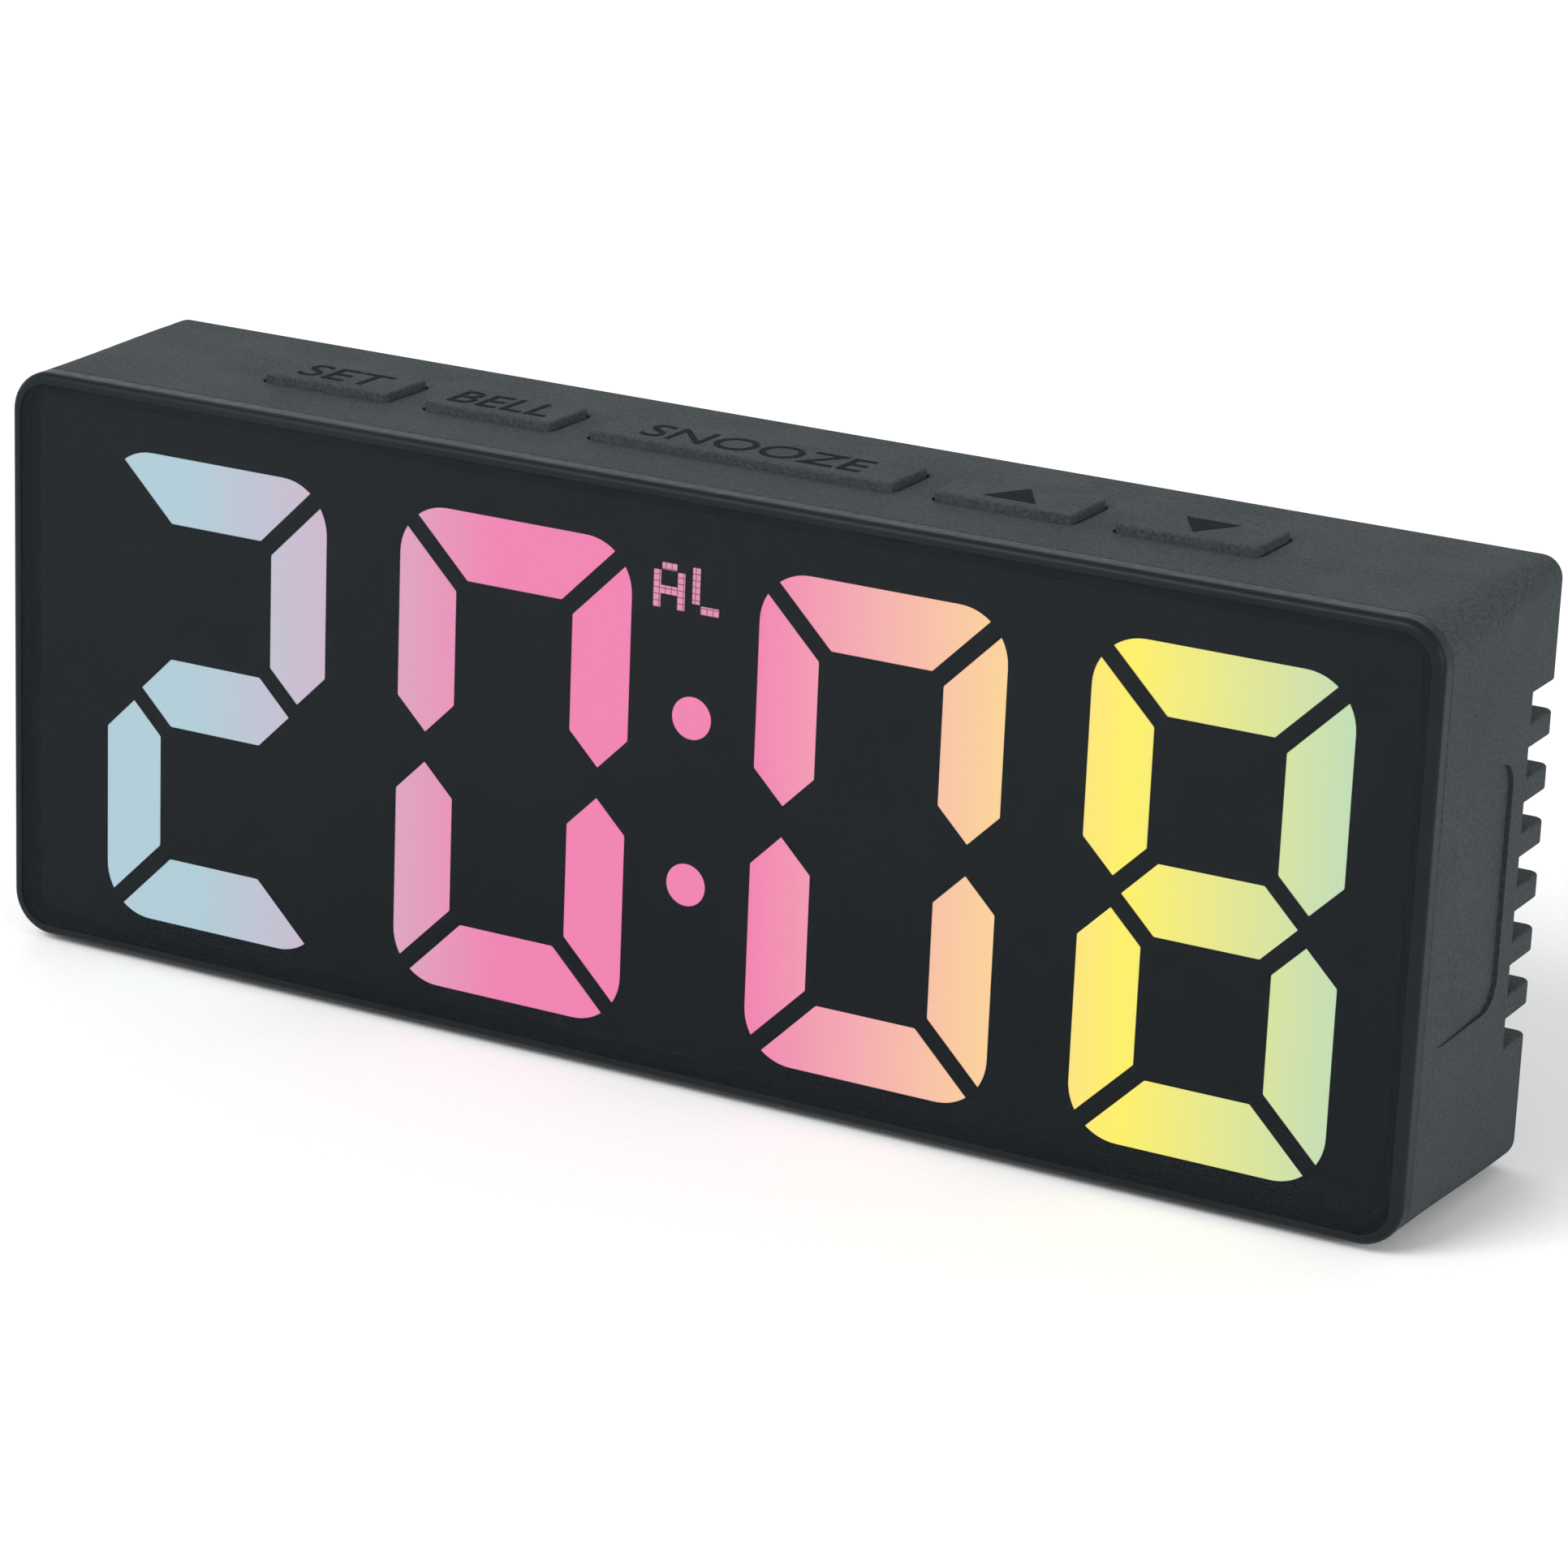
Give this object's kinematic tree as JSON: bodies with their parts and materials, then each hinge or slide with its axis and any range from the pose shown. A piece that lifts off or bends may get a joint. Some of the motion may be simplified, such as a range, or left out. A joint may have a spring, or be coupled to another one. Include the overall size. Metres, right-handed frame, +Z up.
{
  "type": "alarm clock",
  "caption": "Wide digital alarm clock with a large graded-colour LED display, a glossy front frame, function keys on top and a battery door behind.",
  "frame": {"origin": "on the table under the middle of the clock", "axes": "+X to the right seen from the front, +Y to the back, so the display faces -Y, +Z up"},
  "size_m": [0.16, 0.03, 0.0632],
  "materials": {
    "matte_case": "fine grained, matte",
    "gloss_frame": "polished",
    "tinted_lens": "polished smoke acrylic",
    "foot_rubber": "soft, matte",
    "segments_blue": "clear resin over a blue film",
    "segments_pink": "clear resin over a pink film",
    "segments_peach": "clear resin over a peach film",
    "segments_green": "clear resin over a yellow film",
    "black_mask": "dead matte",
    "colour_film": "translucent graded film",
    "white_reflector": "bright white",
    "circuit_board": "green solder mask",
    "led_white": "clear",
    "chip_black": "moulded epoxy",
    "tin_metal": "tin plated",
    "capacitor_sleeve": "shrunk sleeve",
    "ribbon_grey": "flat cable",
    "key_plastic": "fine grained, matte",
    "plunger_plastic": "moulded",
    "cell_sleeve": "plain printed sleeve",
    "lead_red": "insulated wire",
    "buzzer_brass": "sheet",
    "screw_steel": "zinc plated"
  },
  "bodies": {
    "clock": {"rear_housing": "matte_case", "front_frame": "gloss_frame", "front_lens": "tinted_lens", "rubber_feet": "foot_rubber", "hours_tens_segments": "segments_blue", "hours_units_segments": "segments_pink", "minutes_tens_segments": "segments_peach", "minutes_units_segments": "segments_green", "colon_dots": "segments_pink", "alarm_sign": "segments_pink", "display_mask": "black_mask", "gradient_film": "colour_film", "light_reflector": "white_reflector", "main_board": "circuit_board", "segment_leds": "led_white", "controller_chip": "chip_black", "clock_crystal": "tin_metal", "filter_capacitors": "capacitor_sleeve", "chip_resistors": "chip_black", "key_board": "circuit_board", "key_switches": "chip_black", "key_ribbon": "ribbon_grey", "ribbon_connectors": "white_reflector", "battery_cells": "cell_sleeve", "contact_plates": "tin_metal", "contact_springs": "tin_metal", "battery_leads": "lead_red", "buzzer_case": "chip_black", "buzzer_disc": "buzzer_brass", "socket_board": "circuit_board", "socket_supports": "matte_case", "power_socket_shell": "tin_metal", "power_socket_tongue": "chip_black", "board_screws": "screw_steel", "key_board_screws": "screw_steel"},
    "mode_key": {"button_mode": "key_plastic", "plunger_mode": "plunger_plastic"},
    "alarm_key": {"button_alarm": "key_plastic", "plunger_alarm": "plunger_plastic"},
    "snooze_key": {"button_snooze": "key_plastic", "plunger_snooze": "plunger_plastic"},
    "up_key": {"button_up": "key_plastic", "plunger_up": "plunger_plastic"},
    "down_key": {"button_down": "key_plastic", "plunger_down": "plunger_plastic"},
    "battery_door": {"battery_door": "matte_case"}
  },
  "joints": [
    {"name": "mode_press", "type": "slide", "parent": "clock", "child": "mode_key", "axis": [0, 0, -1], "range_m": [0, 0.0005], "stiffness_N_per_m": 1200},
    {"name": "alarm_press", "type": "slide", "parent": "clock", "child": "alarm_key", "axis": [0, 0, -1], "range_m": [0, 0.0005], "stiffness_N_per_m": 1200},
    {"name": "snooze_press", "type": "slide", "parent": "clock", "child": "snooze_key", "axis": [0, 0, -1], "range_m": [0, 0.0005], "stiffness_N_per_m": 1200},
    {"name": "up_press", "type": "slide", "parent": "clock", "child": "up_key", "axis": [0, 0, -1], "range_m": [0, 0.0005], "stiffness_N_per_m": 1200},
    {"name": "down_press", "type": "slide", "parent": "clock", "child": "down_key", "axis": [0, 0, -1], "range_m": [0, 0.0005], "stiffness_N_per_m": 1200},
    {"name": "battery_door_removal", "type": "slide", "parent": "clock", "child": "battery_door", "axis": [0, 1, 0], "range_m": [0, 0.04]}
  ]
}
